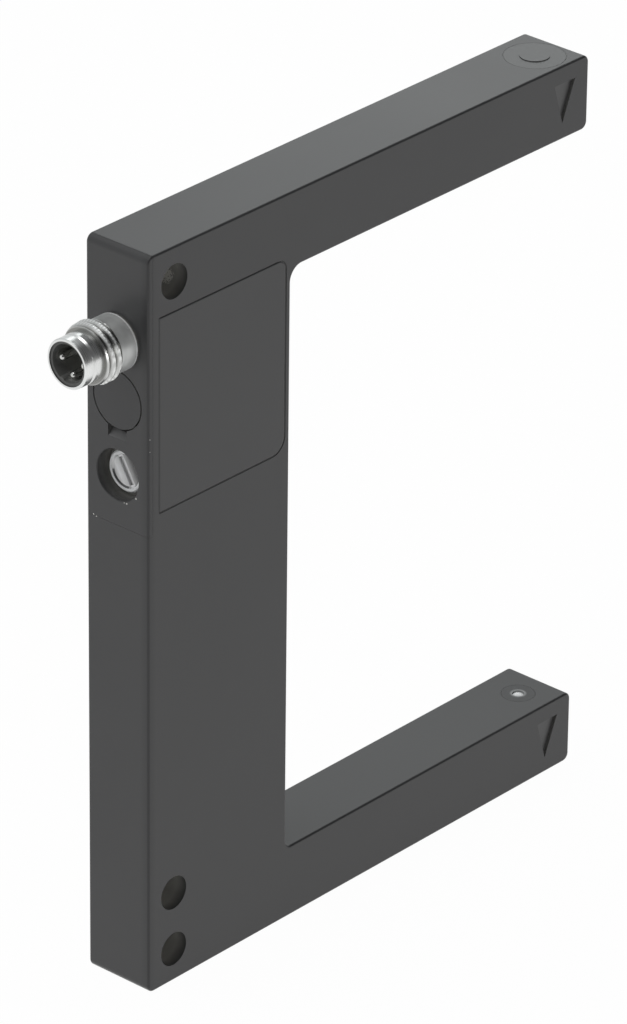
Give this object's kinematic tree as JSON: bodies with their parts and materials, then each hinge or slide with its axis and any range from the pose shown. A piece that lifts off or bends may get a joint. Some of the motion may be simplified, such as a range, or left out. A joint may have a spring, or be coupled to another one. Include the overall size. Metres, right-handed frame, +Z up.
{
  "type": "fork sensor",
  "caption": "C-shaped fork light barrier in a slim painted metal housing, with a threaded round plug connector and a slotted sensitivity adjuster on its narrow back face.",
  "frame": {"origin": "centre of the bottom face of the housing, on which it stands; the connector is not counted", "axes": "+Z up, along the housing's long back; +X from the narrow back face with the connector to the arm tips; +Y from the front face with the cover to the plain rear face"},
  "size_m": [0.0886, 0.01, 0.1001],
  "materials": {
    "black_paint": "satin",
    "cover_paint": "satin",
    "plug_plastic": "matte",
    "shell_metal": "satin nickel",
    "insert_plastic": "matte",
    "contact_tin": "tin plated",
    "nut_brass": "satin",
    "seal_rubber": "matte",
    "gasket_rubber": "matte",
    "adjuster_plastic": "clear, slightly milky",
    "clip_steel": "satin",
    "trimmer_blue": "gloss",
    "rotor_white": "matte",
    "guide_clear": "clear",
    "led_plastic": "gloss",
    "board_green": "satin",
    "screw_steel": "satin",
    "chip_black": "matte",
    "resistor_black": "matte",
    "capacitor_tan": "matte",
    "photodiode_dark": "gloss",
    "aperture_black": "matte",
    "lens_clear": "clear",
    "lead_sleeve": "matte"
  },
  "bodies": {
    "sensor": {"housing": "black_paint", "connector_plate": "black_paint", "front_cover": "cover_paint", "filler_plug": "plug_plastic", "receiver_plug": "plug_plastic", "emitter_plug": "plug_plastic", "connector_shell": "shell_metal", "connector_insulator": "insert_plastic", "contact_pin_1": "contact_tin", "contact_pin_3": "contact_tin", "contact_pin_4": "contact_tin", "connector_nut": "nut_brass", "connector_o_ring": "seal_rubber", "plug_o_ring": "seal_rubber", "cover_gasket": "gasket_rubber", "trimmer_body": "trimmer_blue", "light_guide": "guide_clear", "status_led": "led_plastic", "emitter_led": "led_plastic", "main_board": "board_green", "connector_board": "board_green", "receiver_board": "board_green", "emitter_board": "board_green", "board_screws": "screw_steel", "signal_chip": "chip_black", "output_driver": "chip_black", "voltage_regulator": "chip_black", "resistors": "resistor_black", "capacitors": "capacitor_tan", "receiver_photodiode": "photodiode_dark", "receiver_aperture": "aperture_black", "emitter_aperture": "aperture_black", "receiver_lens": "lens_clear", "emitter_lens": "lens_clear", "receiver_leads": "lead_sleeve", "emitter_leads": "lead_sleeve"},
    "adjuster": {"adjuster": "adjuster_plastic", "adjuster_o_ring": "seal_rubber", "retaining_clip": "clip_steel", "trimmer_rotor": "rotor_white"}
  },
  "joints": [
    {"name": "adjuster_turn", "type": "hinge", "parent": "sensor", "child": "adjuster", "pos_m": [-0.04, 0, 0.0699], "axis": [1, 0, 0], "range_deg": [-135, 135]}
  ]
}
